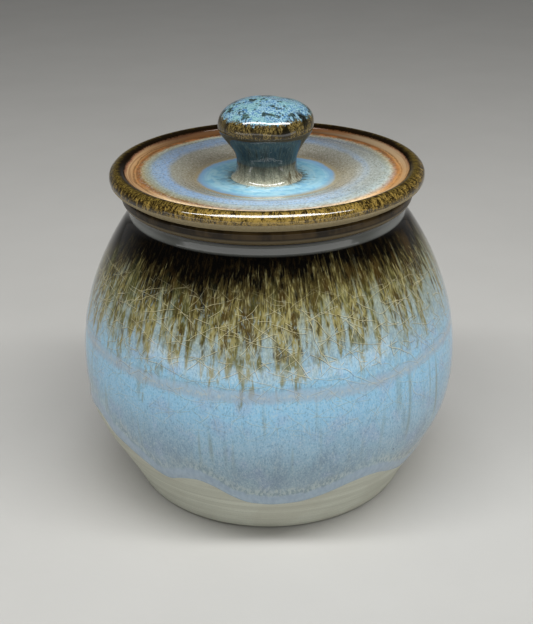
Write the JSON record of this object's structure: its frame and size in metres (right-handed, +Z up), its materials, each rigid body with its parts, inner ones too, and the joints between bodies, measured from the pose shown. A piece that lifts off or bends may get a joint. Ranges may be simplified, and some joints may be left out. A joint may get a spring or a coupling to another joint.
{
  "type": "lidded jar",
  "caption": "Globe-bellied stoneware jar with a short neck and a loose overhanging lid, dished on top, with a flange underneath and a mushroom knob.",
  "frame": {"origin": "centre of the foot, on the shelf", "axes": "+Z up along the axis of the jar, lid and knob; the body is round, so X and Y are free, and the pictured side faces -Y"},
  "size_m": [0.1202, 0.1202, 0.124],
  "materials": {
    "jar_glaze": "gloss glaze, dark olive shoulder running down to sky blue and slate",
    "lid_glaze": "gloss glaze, olive edge, sand and blue rings, turquoise pool",
    "knob_glaze": "gloss glaze, blue dome with dark spots, olive side, slate stem",
    "bare_clay": "matt fired clay at the foot, the rim's top and the lid's seat"
  },
  "bodies": {
    "jar": {"jar": "jar_glaze"},
    "lid": {"lid": "lid_glaze", "knob": "knob_glaze"}
  },
  "joints": [
    {"name": "lid_lift", "type": "slide", "parent": "jar", "child": "lid", "axis": [0, 0, 1], "range_m": [0, 0.12]}
  ]
}
